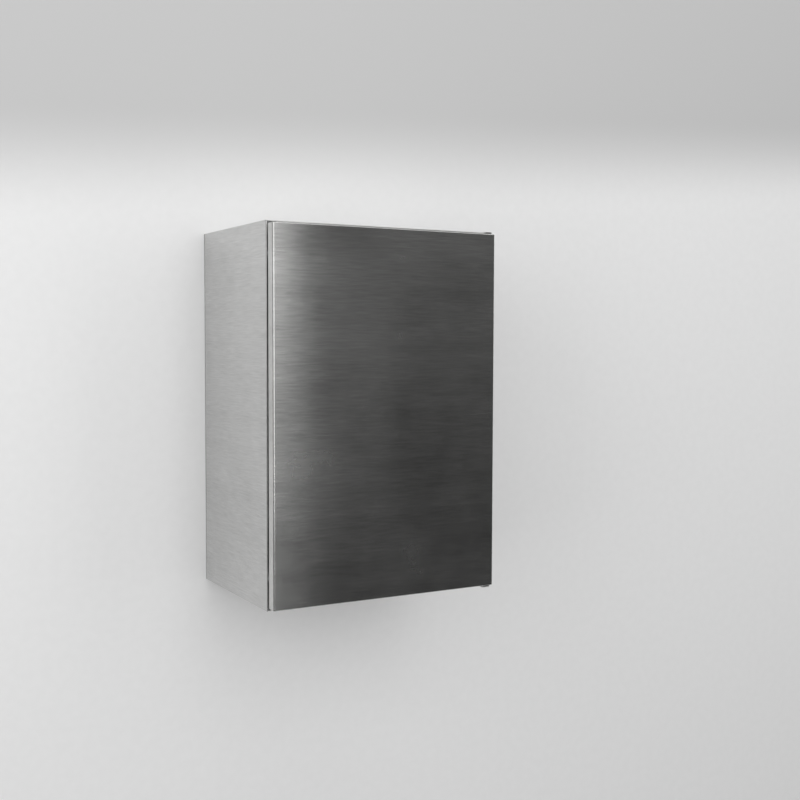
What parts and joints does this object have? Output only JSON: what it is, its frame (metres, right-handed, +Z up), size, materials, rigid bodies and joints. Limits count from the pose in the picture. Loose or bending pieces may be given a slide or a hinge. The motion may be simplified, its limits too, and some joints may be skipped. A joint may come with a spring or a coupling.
{
  "type": "medicine cabinet with mirror",
  "caption": "Wall-hung stainless steel medicine cabinet with one pivot-hung door, a mirror on the door's inner face and shelves inside.",
  "frame": {"origin": "centre of the back face, on the plane of the wall the cabinet hangs on", "axes": "+X to the right of someone facing the door, +Y into the wall, +Z up; the door faces -Y"},
  "size_m": [0.4, 0.3, 0.6],
  "materials": {
    "brushed_steel": "stainless steel sheet with a fine horizontal brushed grain, satin",
    "inner_steel": "plain satin stainless steel sheet",
    "fitting_steel": "smooth stainless steel",
    "mirror": "silvered float glass, clear and flat",
    "core_board": "raw filler board, hidden inside the door",
    "nylon": "moulded white nylon",
    "ferrite": "sintered dark grey ferrite",
    "bumper": "soft pale grey"
  },
  "bodies": {
    "cabinet": {"left_side_panel": "brushed_steel", "right_side_panel": "brushed_steel", "top_panel": "brushed_steel", "bottom_panel": "brushed_steel", "back_panel": "brushed_steel", "hanging_strip": "inner_steel", "shelf_rail_left_front": "inner_steel", "shelf_rail_left_rear": "inner_steel", "shelf_rail_right_front": "inner_steel", "shelf_rail_right_rear": "inner_steel", "lower_shelf": "inner_steel", "upper_shelf": "inner_steel", "catch_bracket": "inner_steel", "shelf_clip_lower_left_front": "fitting_steel", "shelf_clip_lower_left_rear": "fitting_steel", "shelf_clip_lower_right_front": "fitting_steel", "shelf_clip_lower_right_rear": "fitting_steel", "shelf_clip_upper_left_front": "fitting_steel", "shelf_clip_upper_left_rear": "fitting_steel", "shelf_clip_upper_right_front": "fitting_steel", "shelf_clip_upper_right_rear": "fitting_steel", "pivot_plate_top": "fitting_steel", "pivot_plate_bottom": "fitting_steel", "plate_screw_top": "fitting_steel", "plate_screw_bottom": "fitting_steel", "pivot_pin_top": "fitting_steel", "pivot_pin_bottom": "fitting_steel", "catch_pole_left": "fitting_steel", "catch_pole_right": "fitting_steel", "catch_screw_top": "fitting_steel", "catch_screw_bottom": "fitting_steel", "catch_housing": "nylon", "catch_magnet": "ferrite", "bumper_top": "bumper", "bumper_bottom": "bumper"},
    "door": {"door_skin": "brushed_steel", "door_liner": "inner_steel", "door_core": "core_board", "mirror_glass": "mirror", "strike_plate": "fitting_steel", "strike_screw_top": "fitting_steel", "strike_screw_bottom": "fitting_steel", "pivot_bush_top": "nylon", "pivot_bush_bottom": "nylon", "mirror_clip_top_left": "fitting_steel", "mirror_clip_top_right": "fitting_steel", "mirror_clip_bottom_left": "fitting_steel", "mirror_clip_bottom_right": "fitting_steel", "mirror_screw_top_left": "fitting_steel", "mirror_screw_top_right": "fitting_steel", "mirror_screw_bottom_left": "fitting_steel", "mirror_screw_bottom_right": "fitting_steel"}
  },
  "joints": [
    {"name": "door_hinge", "type": "hinge", "parent": "cabinet", "child": "door", "pos_m": [0.1905, -0.2895, 0], "axis": [0, 0, 1], "range_deg": [0, 180]}
  ]
}
